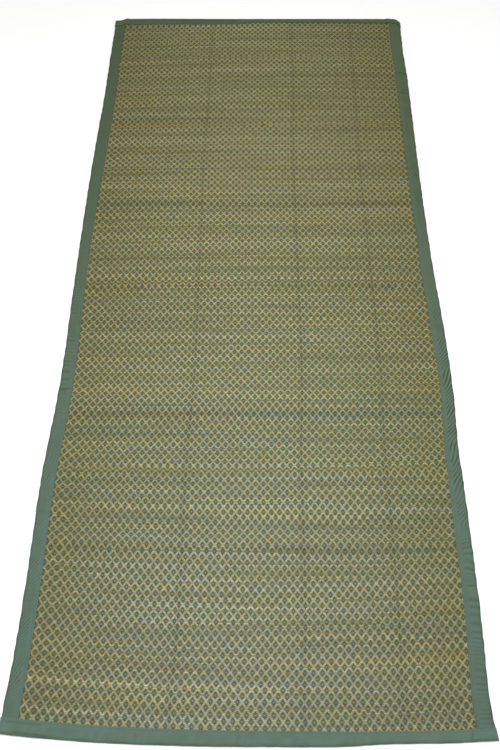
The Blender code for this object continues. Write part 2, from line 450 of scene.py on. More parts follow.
# Each of these has the two ends of a measure, and what they turn into. First, by how far a place
# is from an arm's middle: how high the floats of the arms and of the dot lie, and how near the
# dot's colour the yarn is.
ARM_FLOAT = (0.0, 1.5, 1.0, 0.0)
DOT_FLOAT = (3.5, 4.0, 0.0, 1.0)
ROUND_DOT = (2.2, 3.4, 0.0, 1.0)
# From a float's ends to its middle: how light the grass is, a painted shade where it dips
# under the yarn, and how high both are lifted.
GRASS_DIP_PAINTED_SHADE = (0.0, 0.9, 0.5, 1.0)
GRASS_LIFT = (0.0, 0.6, 0.3, 1.0)
COTTON_LIFT = (0.0, 0.8, 0.2, 1.0)
# From a thread's sides to its middle line: how light it is, a painted shade where it rounds
# down.
GRASS_SIDE_PAINTED_SHADE = (0.0, 0.8, 0.72, 1.0)
COTTON_EDGE_PAINTED_SHADE = (0.0, 0.9, 0.6, 1.0)
# From a row of dots and crossings to half way to the next: how light the yarn is, lightest
# where its floats stand highest and painted shadow where it dives under the straw.
COTTON_ROW_PAINTED_SHADOW = (0.2, 1.5, 1.0, 0.0)
# How clear a dot is, by its diamond and from the near end to the far end.
DOT_CLEAR = (*NOISE_MIDDLE, 0.1, 1.0)
DOT_FADE = (0.1, 0.5, 1.0, 0.0)
# The near end and the far end, in metres from the mat's middle.
ALONG_MAT = (-0.9, 0.9, 0.0, 1.0)

# How many soft patches of each kind there are for each end and each pick.
ARM_PATCHES = 0.3
GRASS_PATCHES = (0.16, 0.3)
BUNDLES = (0.006, 0.25)
DYE_PATCHES = (0.09, 0.2)
FIBRES = (0.35, 5.0)
YARN_SLUBS = 0.4
# And for each millimetre along the tape and across it.
TAPE_SLUBS = (0.05, 0.8)
TAPE_CLOUDS = 0.045
# How much lighter or darker than its mean each of these gets.
FIBRE_LIGHT = 0.12
PATCH_LIGHT = 0.16
BUNDLE_LIGHT = 0.1
END_LIGHT = 0.07
YARN_LIGHT = 0.2
GRAIN_LIGHT = 0.06
TAPE_SLUB_LIGHT = 0.04

# The bumps: their strength, and their height in millimetres.
WEAVE_BUMP = (0.5, 0.4)
TAPE_BUMP = (0.5, 0.12)
THREAD_BUMP = (0.4, 0.05)
PAPER_BUMP = (0.1, 0.2)
# Radians for each millimetre. The tape's threads are 0.4 mm apart, too fine to show here, so
# they are drawn 1.2 mm apart.
TAPE_GRAIN = math.tau / 2.4
# The size of the wave that draws the sewing thread's twist, in millimetres. Its bars are 0.63 of
# that apart along a thread.
THREAD_TWIST = 0.9
# How many soft grains the paper has for each metre.
PAPER_TOOTH = 60.0
# The gap round the face and the underside on the square that a bake fills, as a share of it.
BAKE_MARGIN = 0.004

# The floor is flat up to a share of its radius, and rises from there.
FLOOR_HEIGHT = -0.2
FLOOR_RADIUS = 9000.0
FLOOR_FLAT = 0.6
FLOOR_RISE = 1500.0
FLOOR_RINGS = 14
FLOOR_SIDES = 64
# The soft box faces straight down.
SOFT_BOX_PLACE = (0.0, -500.0, 2400.0)
SOFT_BOX_SIZE = 1000.0
SOFT_BOX_WATTS = 43.0
SOFT_BOX_COLOUR = "FAFDFF"
SKY_COLOUR = "FFFDF8"
SKY_STRENGTH = 0.41

# The photographer's camera: its x, y and height, and how far in degrees it looks down, is turned
# to the right and leans.
CAMERA_PLACE = (20.0, -1203.5, 1426.2)
CAMERA_DOWN = 56.008
CAMERA_TURN = -1.522
CAMERA_ROLL = -0.829
CAMERA_LENS = 42.03
SENSOR = 36.0


def smooth_value(rows, place):
    """The values at places on a smooth curve through a table's rows of place and value."""
    places = np.array([row[0] for row in rows], float)
    values = np.array([row[1] for row in rows], float)
    slopes = np.gradient(values)
    slopes[1:-1] = (values[2:] - values[:-2]) / (places[2:] - places[:-2])
    slopes[0] /= places[1] - places[0]
    slopes[-1] /= places[-1] - places[-2]
    place = np.clip(place, places[0], places[-1])
    k = np.clip(np.searchsorted(places, place, side="right") - 1, 0, len(places) - 2)
    span = places[k + 1] - places[k]
    t = (place - places[k]) / span
    from_values = values[k] * (1 + 2 * t) * (1 - t) ** 2 + values[k + 1] * t * t * (3 - 2 * t)
    from_slopes = slopes[k] * t * (1 - t) ** 2 - slopes[k + 1] * t * t * (1 - t)
    return from_values + span * from_slopes


def smooth_rows(rows, place):
    """The same for a table with several values in each row."""
    return [
        smooth_value([(row[0], row[k]) for row in rows], place) for k in range(1, len(rows[0]))
    ]


def smooth_step(low, high, value):
    """0 at the low value and 1 at the high one, with no sudden start or stop."""
    t = np.clip((value - low) / (high - low), 0.0, 1.0)
    return t * t * (3.0 - 2.0 * t)


def bell(off, half):
    """1 on a line, falling away over about so many millimetres to each side."""
    return np.exp(-((off / half) ** 2))


def left_edge(y):
    return -MAT_WIDTH / 2 - smooth_value(LEFT_EDGE, y + MAT_LENGTH / 2)


def right_edge(y):
    return MAT_WIDTH / 2 + smooth_value(RIGHT_EDGE, y + MAT_LENGTH / 2)


def near_edge(x):
    return -MAT_LENGTH / 2 - smooth_value(NEAR_EDGE, x + MAT_WIDTH / 2)


def far_edge(x):
    return MAT_LENGTH / 2 + smooth_value(FAR_EDGE, x + MAT_WIDTH / 2)


def cover(inside, wide):
    """1 where a tape lies, falling smoothly to 0 further inside the mat."""
    return smooth_step(RAMP_START + RAMP_LENGTH, RAMP_START, inside - wide)


def side_cover(x, y):
    along = y + MAT_LENGTH / 2
    return np.maximum(
        cover(x - left_edge(y), smooth_value(LEFT_TAPE, along)),
        cover(right_edge(y) - x, smooth_value(RIGHT_TAPE, along)),
    )


def end_cover(x, y):
    across = x + MAT_WIDTH / 2
    return np.maximum(
        cover(y - near_edge(x), smooth_value(NEAR_TAPE, across)),
        cover(far_edge(x) - y, smooth_value(FAR_TAPE, across)),
    )


def panel_height(x, y):
    """The height of the middle of the panel, which the tapes' lower sides lift."""
    return PANEL_THICKNESS / 2 + LAYER * (side_cover(x, y) + end_cover(x, y))


def end_fold_radius(x, y):
    return FOLD_RADIUS + LAYER * side_cover(x, y)


def frame_origin():
    """The x and y of the frame's origin, which is the middle of the mat's outline, from where the
    solids lie."""
    left = min(left_edge(np.linspace(-MAT_LENGTH / 2, MAT_LENGTH / 2, OUTLINE_PLACES)))
    near = min(near_edge(np.linspace(-MAT_WIDTH / 2, MAT_WIDTH / 2, OUTLINE_PLACES)))
    return left - cad_low.x / MM, near - cad_low.y / MM


ORIGIN_X, ORIGIN_Y = frame_origin()


def in_frame(x, y, z):
    """Points in the frame, in metres."""
    x, y, z = np.broadcast_arrays(x, y, z)
    return np.stack([(x - ORIGIN_X) * MM, (y - ORIGIN_Y) * MM, z * MM], axis=-1)


def linear(hex_colour):
    """An sRGB hex colour as linear red, green, blue and alpha."""
    channels = [int(hex_colour[k : k + 2], 16) / 255 for k in (0, 2, 4)]
    return tuple(
        c / 12.92 if c <= 0.04045 else ((c + 0.055) / 1.055) ** 2.4 for c in channels
    ) + (1.0,)


# The yarn's darkest colour is a painted shadow, at a diamond's tips and a yarn's sides.
COTTON_TIP_PAINTED_SHADOW = linear("4C583C")
COTTON_SIDE = linear("696D52")
COTTON_MIDDLE = linear("647660")
DOT_COLOUR = linear("8B987D")
ARM_TONE = (0.84, 0.94, 1.04, 1.0)
CROSSING_TONE = (0.96, 0.97, 1.06, 1.0)
GRASS_YELLOWER = (1.06, 1.0, 0.82, 1.0)
GRASS_GREYER = (0.97, 1.0, 1.12, 1.0)
BUNDLE_YELLOWER = (1.03, 1.0, 0.87, 1.0)
BUNDLE_GREYER = (0.98, 1.0, 1.1, 1.0)
BUNDLE_GREENER = (0.98, 1.01, 0.97, 1.0)
BUNDLE_REDDER = (1.02, 0.99, 1.01, 1.0)
COTTON_BLUER = (0.84, 1.0, 1.3, 1.0)
COTTON_BROWNER = (1.14, 1.0, 0.74, 1.0)
COTTON_GREENER = (0.87, 1.02, 0.95, 1.0)
COTTON_REDDER = (1.12, 0.98, 1.03, 1.0)
# The yarn's painted light: a cool sheen at the near end, and the light falling off to the far
# end.
COTTON_NEAR_PAINTED_SHEEN = (1.0, 1.0, 1.05, 1.0)
COTTON_FAR_PAINTED_FALLOFF = (0.96, 0.8, 0.51, 1.0)
TAPE_COOL = linear("586F62")
TAPE_WARM = linear("556B59")
THREAD_LIGHT = linear("5F7866")
THREAD_DARK = linear("4A5F50")


def add_node(tree, kind, *values, inputs=None, **settings):
    """Adds a node with its settings, gives its inputs values or links, in order or by name, and
    returns its first output."""
    node = tree.nodes.new("ShaderNode" + kind)
    for name, setting in settings.items():
        setattr(node, name, setting)
    sockets = [socket for socket in node.inputs if socket.enabled]
    given = list(zip(sockets, values))
    given += [(node.inputs[name], value) for name, value in (inputs or {}).items()]
    for socket, value in given:
        if isinstance(value, bpy.types.NodeSocket):
            tree.links.new(value, socket)
        elif value is not None:
            socket.default_value = value
    return next((socket for socket in node.outputs if socket.enabled), None)


def new_material(name):
    """An empty material, and the function that adds a node to it."""
    material = bpy.data.materials.new(name)
    material.use_nodes = True
    material.node_tree.nodes.clear()
    return material, functools.partial(add_node, material.node_tree)


def grid_faces(columns, rows):
    """The corners of each quad of a grid whose points run row by row."""
    index = np.arange(columns * rows).reshape(rows, columns)
    low, high = index[:-1], index[1:]
    return np.stack([low[:, :-1], low[:, 1:], high[:, 1:], high[:, :-1]], axis=-1).reshape(-1, 4)


def add_piece(name, points, faces, materials):
    """A smooth shaded mesh object."""
    mesh = bpy.data.meshes.new(name)
    mesh.from_pydata(points.reshape(-1, 3).tolist(), [], faces)
    mesh.shade_smooth()
    for material in materials:
        mesh.materials.append(material)
    piece = bpy.data.objects.new(name, mesh)
    bpy.context.scene.collection.objects.link(piece)
    return piece


def corner_vertices(mesh):
    corners = np.empty(len(mesh.loops), int)
    mesh.loops.foreach_get("vertex_index", corners)
    return corners


def set_uv(mesh, name, places):
    """A UV map from one place for each face corner."""
    mesh.uv_layers.new(name=name).data.foreach_set("uv", places.astype(np.float32).ravel())


def set_tint(mesh, tint):
    """A colour for each point, which the materials multiply their own colour by."""
    layer = mesh.color_attributes.new("tint", "FLOAT_COLOR", "POINT")
    rgba = np.ones((len(mesh.vertices), 4), np.float32)
    rgba[:, :3] = tint
    layer.data.foreach_set("color", rgba.ravel())


def end_places():
    """How far across the mat each cotton end lies. End 0 is at a crossing of straw arms."""
    numbers = np.arange(FIRST_END, LAST_END)
    places = FIRST_CROSSING + numbers * END_PITCH
    half = END_PITCH * HALF_REPEAT
    for fault in COLUMN_FAULTS:
        places += fault.extra * smooth_step(fault.across - half, fault.across + half, places)
    return numbers, places


def pick_places():
    """How far along the mat's middle each grass pick lies, without the picks left out."""
    along = np.arange(-PICK_MARGIN, MAT_LENGTH + PICK_MARGIN, PICK_SEARCH)
    beyond = smooth_value(BEATING, along)
    picks = (along - MAT_LENGTH / 2 - beyond) / PICK_PITCH
    numbers = np.arange(int(picks[0]) + 2, int(picks[-1]) - 2)
    return numbers, np.interp(numbers, picks, along)


def weave_point(across, along):
    """Where an end and a pick cross: x and y, from their places at the mat's middle lines."""
    share = across / MAT_WIDTH
    rise = smooth_value(PICK_SLOPE, along) * (share - 0.5)
    bow = smooth_value(PICK_BOW, along) * (1 - 4 * share * (1 - share))
    y = along + rise + bow - MAT_LENGTH / 2
    width = right_edge(y) - left_edge(y)
    drift = smooth_value(SIDEWAYS_DRIFT, y + MAT_LENGTH / 2)
    return left_edge(y) + share * width + drift, y


def ping_pong(number, top=HALF_REPEAT):
    return top - abs(number % (2 * top) - top)


def panel_grid():
    """The points of the weave's face: x, y, the end and pick at each, and the places along and
    across that they come from."""
    end_numbers, across = end_places()
    pick_numbers, along = pick_places()
    inset = FOLD_RADIUS + TAPE_THICKNESS / 2 + PANEL_SHORT
    ends = (end_numbers % 2 == 0) & (across > inset - END_PITCH)
    ends &= across < MAT_WIDTH - inset + END_PITCH
    middle_start = near_edge(0.0) + MAT_LENGTH / 2 + inset
    middle_stop = far_edge(0.0) + MAT_LENGTH / 2 - inset
    picks = (pick_numbers % 2 == 0) & (along > middle_start - PICK_PITCH)
    picks &= along < middle_stop + PICK_PITCH
    across, end_numbers = across[ends], end_numbers[ends]
    along, pick_numbers = along[picks], pick_numbers[picks]

    grid_across, grid_along = np.meshgrid(across, along)
    x, y = weave_point(grid_across, grid_along)
    x[:, 0] = left_edge(y[:, 0]) + inset
    x[:, -1] = right_edge(y[:, -1]) - inset

    # Under the end tapes, the last picks are bent to meet the panel's cut ends.
    for row, edge, wide, inward in (
        (0, near_edge, NEAR_TAPE, 1.0),
        (-1, far_edge, FAR_TAPE, -1.0),
    ):
        end_inset = end_fold_radius(x[row], edge(x[row])) + TAPE_THICKNESS / 2 + PANEL_SHORT
        move = edge(x[row]) + inward * end_inset - y[row]
        hidden = smooth_value(wide, x[row] + MAT_WIDTH / 2) - end_inset - inward * move
        bent = np.maximum(hidden - BEND_MARGIN, LEAST_BENT)
        inside = inward * (y - y[row])
        y += move * np.clip(1.0 - inside / bent, 0.0, 1.0)
    return x, y, end_numbers, pick_numbers, grid_across, grid_along


def picks_left_out(along):
    """How many picks of the pattern have been left out by each place along the mat."""
    return sum(fault.left_out * (along >= fault.along) for fault in PICK_FAULTS)


def weave_height(end, pattern_pick):
    """The height of the weave's face over its lowest, where every second end crosses every
    second pick."""
    a = ping_pong(end)[None, :]
    b = ping_pong(pattern_pick)[:, None]
    from_arm = abs(a + b - HALF_REPEAT)
    corner = np.where(a == HALF_REPEAT / 2, SIDE_HEIGHT, TIP_HEIGHT)
    return RELIEF_DEPTH * np.where(
        from_arm == 0, 1.0, np.where(from_arm == HALF_REPEAT, MIDDLE_HEIGHT, corner)
    )


def grass_tint(across, along):
    """The shade that the streaks give the grass at each point, with the painted light that falls
    off along the mat and the painted sheen along its middle.
    """
    light = np.zeros_like(across)
    warm = np.zeros_like(across)
    for streak in STREAKS:
        near = bell(along - streak.along, STREAK_REACH * streak.wide)
        if streak.start:
            near *= smooth_step(streak.start - STREAK_FADE, streak.start + STREAK_FADE, across)
        near *= smooth_step(streak.stop + STREAK_FADE, streak.stop - STREAK_FADE, across)
        light += streak.light * near
        warm += streak.warm * near
    for fault in COLUMN_FAULTS:
        if fault.extra < 0:
            light -= CROWDED_SHADE * bell(across - fault.across, CROWDED_HALF)
    for fault in PICK_FAULTS:
        near = bell(along - fault.along, FAULT_HALF)
        light -= FAULT_SHADE * near
        warm += FAULT_WARM * near
    for knot in KNOTS:
        from_knot = np.hypot(across - knot.across, along - knot.along)
        light -= knot.dark * bell(from_knot, KNOT_HALF)
    # The drift along the mat is mostly painted light, and the sides' drop is a painted sheen.
    drifts_and_painted_light = smooth_rows(GRASS_DRIFT_AND_PAINTED_LIGHT, along)
    side_painted_sheen = smooth_rows(SIDES_DARKER_PAINTED_SHEEN, along)
    side = ((across - MAT_WIDTH / 2) / (MAT_WIDTH / 2)) ** 2
    return np.stack(
        [
            (1 + light + shift) * fade * (1 - side_sheen_drop * side)
            for shift, fade, side_sheen_drop in zip((warm / 2, 0.0, -warm / 2), drifts_and_painted_light, side_painted_sheen)
        ],
        axis=-1,
    )


def face_triangles(index, ends, pattern_picks):
    """Two triangles for each square of the face. They meet along the straw diamond's arm, which
    makes it a ridge."""
    a, b = index[:-1, :-1], index[:-1, 1:]
    d, c = index[1:, :-1], index[1:, 1:]
    rising = ((ends[None, :-1] + pattern_picks[:-1, None]) // 2 % 2 == 0)[..., None]
    first = np.where(rising, np.stack([a, b, c], -1), np.stack([a, b, d], -1))
    second = np.where(rising, np.stack([a, c, d], -1), np.stack([b, c, d], -1))
    return np.concatenate([first.reshape(-1, 3), second.reshape(-1, 3)])


def rim_walls(top_line, places, under_line, turned=False):
    """Walls from a line of the face's edge down to the underside's coarser edge."""
    walls = []
    for k in range(len(places) - 1):
        top = top_line[places[k] : places[k + 1] + 1]
        wall = [int(v) for v in (under_line[k], under_line[k + 1], *top[::-1])]
        walls.append(wall[::-1] if turned else wall)
    return walls


def thread_numbers(over, face_count, columns, ends, picks, skipped):
    """The end and the pick at each corner, from the face's point over it. The picks that a fault
    left out are counted from a triangle's near side, so its corners agree about them."""
    line, column = np.divmod(over, columns)
    near_line = line.copy()
    triangles = near_line[: 3 * face_count].reshape(-1, 3)
    triangles[:] = triangles.min(axis=1)[:, None]
    return np.stack([ends[column], picks[line] + skipped[near_line]], axis=-1)


def bake_places(points, corners, face_points, under_corners):
    """The face and the underside side by side on one square, for anyone who bakes the weave."""
    low, high = points.min(axis=0), points.max(axis=0)
    sheet = (points[:, :2] - low[:2]) / (high[:2] - low[:2])
    sheet = BAKE_MARGIN + sheet * (np.array([0.5, 1.0]) - 2 * BAKE_MARGIN)
    lower = np.arange(len(points)) >= face_points
    outward = np.sign(sheet - sheet[:face_points].mean(axis=0)) * BAKE_MARGIN / 2
    places = (sheet + outward * lower[:, None])[corners]
    places[under_corners] = sheet[corners[under_corners]] + np.array([0.5, 0.0])
    return places


def add_woven_panel(face_material, under_material):
    """The cloth of grass and cotton, as one closed sheet. Its face follows the weave, with a
    point at every second end and pick, and its underside is coarser."""
    x, y, ends, picks, across, along = panel_grid()
    rows, columns = x.shape
    skipped = picks_left_out(along[:, 0])
    # The pattern is counted from a dot, and the ends from a crossing of arms.
    pattern_ends = ends + HALF_REPEAT
    middle = panel_height(x, y)
    relief = weave_height(pattern_ends, picks + skipped) - RELIEF_DEPTH
    face_points = in_frame(x, y, middle + PANEL_THICKNESS / 2 + relief).reshape(-1, 3)
    index = np.arange(rows * columns).reshape(rows, columns)
    face = face_triangles(index, pattern_ends, picks + skipped)

    under_rows = np.append(np.arange(0, rows - 1, UNDER_STEP), rows - 1)
    under_columns = np.append(np.arange(0, columns - 1, UNDER_STEP), columns - 1)
    above = index[np.ix_(under_rows, under_columns)]
    under_points = in_frame(x, y, middle - PANEL_THICKNESS / 2).reshape(-1, 3)[above.ravel()]
    under_index = index.size + np.arange(above.size).reshape(above.shape)
    under = index.size + grid_faces(len(under_columns), len(under_rows))[:, [0, 3, 2, 1]]

    walls = rim_walls(index[0], under_columns, under_index[0])
    walls += rim_walls(index[:, -1], under_rows, under_index[:, -1])
    walls += rim_walls(index[-1], under_columns, under_index[-1], turned=True)
    walls += rim_walls(index[:, 0], under_rows, under_index[:, 0], turned=True)

    points = np.concatenate([face_points, under_points])
    faces = face.tolist() + under.tolist() + walls
    piece = add_piece("woven_grass_panel", points, faces, (face_material, under_material))
    mesh = piece.data
    is_under = np.zeros(len(faces), np.int32)
    is_under[len(face) : len(face) + len(under)] = 1
    mesh.polygons.foreach_set("material_index", is_under)

    corners = corner_vertices(mesh)
    over = np.append(index.ravel(), above.ravel())[corners]
    threads = thread_numbers(over, len(face), columns, pattern_ends, picks, skipped)
    set_uv(mesh, "threads", threads)
    under_corners = slice(3 * len(face), 3 * len(face) + 4 * len(under))
    set_uv(mesh, "OFBake", bake_places(points, corners, index.size, under_corners))
    tint = grass_tint(across, along).reshape(-1, 3)
    set_tint(mesh, np.concatenate([tint, tint[above.ravel()]]))
    mesh.uv_layers.active = mesh.uv_layers["threads"]
    return piece


def half_section(wide, radius):
    """Half of a folded tape's cloth, from the fold's outermost line to the end of the hem: how
    far inside the mat's edge, its share of the way up the fold, and how far it sinks."""
    centre = radius + CLOTH / 2
    points = []
    for degrees in FOLD_ANGLES:
        angle = math.radians(degrees)
        points.append((centre - radius * math.cos(angle), math.sin(angle), 0.0))
    for share in np.linspace(0.0, 1.0, SAG_STEPS + 1)[1:]:
        points.append((centre + share * (wide - HEM_LINE - centre), 1.0, TAPE_SAG))
    for point in HEM_TOP:
        points.append((wide - point.back, 1.0, point.sink))
    for degrees in HEM_ANGLES:
        angle = math.radians(degrees)
        inside = wide - HEM_TURN + HEM_TURN * math.cos(angle)
        points.append((inside, 1.0, HEM_TURN - HEM_TURN * math.sin(angle)))
    for back in HEM_UNDER:
        points.append((wide - back, 1.0, 2 * HEM_TURN))
    shape = wide.shape
    return [np.stack([np.broadcast_to(p[k], shape) for p in points], axis=-1) for k in range(3)]


def tape_section(wide, radius):
    """The whole section, from the lower hem to the upper one. The share is negative below."""
    inside, share, sink = half_section(wide, radius)
    return [
        np.concatenate([mirrored * half[:, :0:-1], half], axis=1)
        for half, mirrored in ((inside, 1.0), (share, -1.0), (sink, 1.0))
    ]


def wandering_wave(along, length, wander, wander_length):
    """A wave along the tape whose places wander to and fro."""
    return np.sin(along / length + wander * np.sin(along / wander_length))


def puckers(plan, along, across, inside, wide):
    """How far the folds beside the sewing lift the tape, and how deep in one each point is."""
    depth = smooth_value(plan.depth, along)
    climb = smooth_value(plan.climb, along)
    wander = sum(w.moved * np.sin(along / w.length + w.start) for w in PUCKER_WANDER)
    turns = (along - climb * across) / plan.pitch + wander
    uneven = 1.0 - PUCKER_UNEVEN + PUCKER_UNEVEN * wandering_wave(along, *PUCKER_WAVE)
    valley = (0.5 + 0.5 * np.cos(math.tau * turns)) ** PUCKER_SHARPNESS
    reach = smooth_step(wide - PUCKER_STOP, wide - PUCKER_FULL, inside)
    strength = depth * uneven * reach
    return strength * (PUCKER_RISE - valley), strength * (valley - PUCKER_SHADE_START)


def single_creases(plan, along, inside):
    """How deep in one of the tape's single creases each point is."""
    deep = np.zeros_like(inside)
    for crease in plan.creases:
        rise = crease.stop_inside - crease.start_inside
        length = math.hypot(crease.stop - crease.start, rise)
        run, rise = (crease.stop - crease.start) / length, rise / length
        past_start, past_inside = along - crease.start, inside - crease.start_inside
        on = past_start * run + past_inside * rise
        off = past_inside * run - past_start * rise
        ends = smooth_step(-CREASE_OVERRUN, CREASE_END, on)
        ends *= smooth_step(length + CREASE_OVERRUN, length - CREASE_END, on)
        deep = np.maximum(deep, crease.deep * ends * bell(off, CREASE_HALF))
    return deep


def edge_wave(along, inside):
    """How the outer edge moves inwards and out, between the points where the stitches hold it."""
    wave = wandering_wave(along, *EDGE_WAVE) + EDGE_SLOW_SHARE * np.sin(along / EDGE_SLOW_WAVE)
    return wave * smooth_step(EDGE_WAVE_REACH, 0.0, inside)


def folds(plan, along, across, inside, lift, wide):
    """How far all its folds raise a tape's upper side, and how deep in one each point is."""
    upper = np.clip(lift, 0.0, 1.0) ** 2
    raised, in_fold = puckers(plan, along, across, inside, wide[:, None])
    creased = single_creases(plan, along, inside)
    return upper * (raised - creased), upper * (in_fold + creased)


def side_tape_points(plan):
    """A side tape's cloth: its points, how far inside the edge and how deep in a fold each is."""
    count = int(MAT_LENGTH / TAPE_STEP)
    share = np.linspace(0.0, 1.0, count + 1)
    middle = share * MAT_LENGTH - MAT_LENGTH / 2
    wide = smooth_value(plan.widths, middle + MAT_LENGTH / 2)
    radius = FOLD_RADIUS + (TAPE_THICKNESS - CLOTH) / 2
    inside, lift, sink = tape_section(wide, np.full_like(wide, radius))
    x = plan.edge(middle)[:, None] + plan.inward * inside
    near_inset = end_fold_radius(x, near_edge(x)) + TAPE_THICKNESS / 2 + PANEL_SHORT
    start, stop = near_edge(x) + near_inset, far_edge(x) - near_inset
    y = start + (stop - start) * share[:, None]
    along = y + MAT_LENGTH / 2
    x += plan.inward * SIDE_RIPPLE * edge_wave(along, inside)
    raised, in_fold = folds(plan, along, x, inside, lift, wide)
    z = panel_height(x, y) + lift * radius - np.sign(lift) * sink + raised
    return x, y, z, inside, lift, in_fold


def end_tape_points(plan):
    """An end tape's cloth, which also goes round the side tapes' ends and follows their edges."""
    pressed = np.array(PRESSED_ROWS)
    middle_start = PRESSED + TAPE_STEP
    middle_rows = np.arange(middle_start, MAT_WIDTH - middle_start + TAPE_STEP / 2, TAPE_STEP)
    from_left = np.concatenate([pressed, middle_rows, MAT_WIDTH - pressed[::-1]])
    share = from_left / MAT_WIDTH
    from_end = np.minimum(from_left, MAT_WIDTH - from_left)
    open_share = np.sqrt(1.0 - (1.0 - np.minimum(from_end / PRESSED, 1.0)) ** 2)
    open_share = np.maximum(open_share, PRESSED_SHARE)[:, None]
    places = from_left - MAT_WIDTH / 2
    wide = smooth_value(plan.widths, places + MAT_WIDTH / 2)
    padding = (TAPE_THICKNESS - CLOTH) / 2
    fold_radius = end_fold_radius(places, plan.edge(places)) + padding
    inside, lift, sink = tape_section(wide, fold_radius)
    level = plan.edge(places[:, None]) + plan.inward * inside
    start, stop = left_edge(level) - END_TAPE_OVERHANG, right_edge(level) + END_TAPE_OVERHANG
    x = start + (stop - start) * share[:, None]
    along = x + MAT_WIDTH / 2
    y = plan.edge(x) + plan.inward * (inside + END_RIPPLE * edge_wave(along, inside))
    radius = np.where(abs(lift) < 1.0, fold_radius[:, None], end_fold_radius(x, y) + padding)
    raised, in_fold = folds(plan, along, y, inside, lift, wide)
    middle = TAPE_THICKNESS / 2 + radius - padding
    rise = lift * radius - np.sign(lift) * sink + raised
    return x, y, middle + open_share * rise, inside, lift, in_fold


def tape_tint(plan, inside, lift, in_fold, x, y):
    """The tape's shade: darker in its folds, along its outer edge and where that turns under,
    bluer on its hem, and greener to the far end. The darkening is painted shade, and the drift to
    the far end is mostly painted light falling off."""
    wide = inside.max(axis=1)[:, None]
    outer = smooth_step(OUTER_WIDE, 0.0, inside)
    outer *= 1.0 + OUTER_UNEVEN * np.sin((x + y) / OUTER_WAVE)
    under = smooth_step(UNDER_START, UNDER_FULL, lift)
    under *= smooth_step(OUTER_WIDE, OUTER_WIDE / 2, inside)
    along = y + MAT_LENGTH / 2
    light = plan.near_light + (plan.far_light - plan.near_light) * along / MAT_LENGTH
    light *= (1.0 - CREASE_SHADE * in_fold) * (1.0 - OUTER_SHADE * outer)
    light *= 1.0 - UNDER_SHADE * under
    hem = smooth_step(wide - HEM_LINE, wide - HEM_LINE + HEM_BLEND, inside)
    red, green, blue = smooth_rows(TAPE_DRIFT_AND_PAINTED_LIGHT, along)
    bluer = 1.0 + HEM_BLUER * hem
    return np.stack([light * red, light * green, light * blue * bluer], axis=-1)


def add_tape(plan, material):
    """A tape folded over one edge of the mat, with its inner edges turned under. Also gives the
    lines that its stitches follow, above and below, and its cloth's flat size."""
    x, y, z, inside, lift, in_fold = plan.lay(plan)
    points = in_frame(x, y, z)
    rows, columns = x.shape
    faces = grid_faces(columns, rows)
    runs_in = plan.inward > 0
    runs_across = plan.lay is end_tape_points
    if runs_in == runs_across:
        faces = faces[:, ::-1]
    piece = add_piece(plan.name, points, faces.tolist(), (material,))
    mesh = piece.data

    # The cloth's own millimetres, along the tape and across it.
    steps = np.linalg.norm(np.diff(points, axis=1), axis=2) / MM
    across = np.concatenate([np.zeros((rows, 1)), np.cumsum(steps, axis=1)], axis=1)
    steps = np.linalg.norm(np.diff(points, axis=0), axis=2).mean(axis=1) / MM
    along = np.concatenate([[0.0], np.cumsum(steps)])
    flat_size = across[:, -1].mean(), along[-1]
    along = np.broadcast_to(along[:, None], across.shape)
    places = np.stack([along, across], axis=-1).reshape(-1, 2)
    set_uv(mesh, "cloth", places[corner_vertices(mesh)])
    set_tint(mesh, tape_tint(plan, inside, lift, in_fold, x, y).reshape(-1, 3))

    solid = piece.modifiers.new("thickness", "SOLIDIFY")
    solid.thickness = CLOTH * MM
    solid.offset = 0.0

    # The stitches run along the lines where the hems are drawn in.
    line = columns - len(HEM_UNDER) - len(HEM_ANGLES) - len(HEM_TOP)
    line += [point.back for point in HEM_TOP].index(STITCH_INSET)
    cloth_lines = [
        (np.stack([x[:, k], y[:, k], z[:, k] + up * CLOTH / 2], axis=-1), up)
        for k, up in ((line, 1.0), (columns - 1 - line, -1.0))
    ]
    return piece, cloth_lines, flat_size


def stitch_points(path, up):
    """The points round each stitch along a path on a tape. A stitch stands out from the cloth,
    upwards or downwards, and dips back in."""
    lengths = np.concatenate([[0.0], np.cumsum(np.linalg.norm(np.diff(path, axis=0), axis=1))])
    stop = lengths[-1] - STITCH_START - STITCH_LENGTH
    starts = np.arange(STITCH_START, stop, STITCH_LENGTH + STITCH_GAP)
    shares = np.linspace(0.0, 1.0, STITCH_RINGS)
    arch = np.sin(np.pi * shares)
    at = starts[:, None] + shares * STITCH_LENGTH
    centre = np.stack([np.interp(at, lengths, path[:, k]) for k in range(3)], axis=-1)
    centre[..., 2] += up * THREAD * (STITCH_ARCH * arch - STITCH_DIP)
    heading = centre[:, -1] - centre[:, 0]
    heading[:, 2] = 0.0
    heading /= np.linalg.norm(heading, axis=1)[:, None]
    side = np.stack([-heading[:, 1], heading[:, 0], np.zeros(len(heading))], axis=-1)
    angles = np.arange(THREAD_SIDES) * math.tau / THREAD_SIDES
    thick = THREAD / 2 * (STITCH_TIP_SHARE + (1.0 - STITCH_TIP_SHARE) * arch)
    ring = (
        np.cos(angles)[:, None] * side[:, None, None, :]
        + np.sin(angles)[:, None] * np.array([0.0, 0.0, 1.0])
    )
    return centre[:, :, None, :] + thick[None, :, None, None] * ring


def add_stitches(name, cloth_lines, material):
    """The stitches that hold a tape, on its upper side and its underside."""
    points = np.concatenate([stitch_points(path, up) for path, up in cloth_lines])
    count, rings, sides = points.shape[:3]
    index = np.arange(points[..., 0].size).reshape(count, rings, sides)
    turned = np.roll(index, -1, axis=2)
    walls = np.stack([index[:, :-1], turned[:, :-1], turned[:, 1:], index[:, 1:]], axis=-1)
    faces = walls.reshape(-1, 4).tolist()
    faces += index[:, 0, ::-1].tolist() + index[:, -1, :].tolist()
    frame_points = in_frame(points[..., 0], points[..., 1], points[..., 2])
    return add_piece(name, frame_points, faces, (material,))


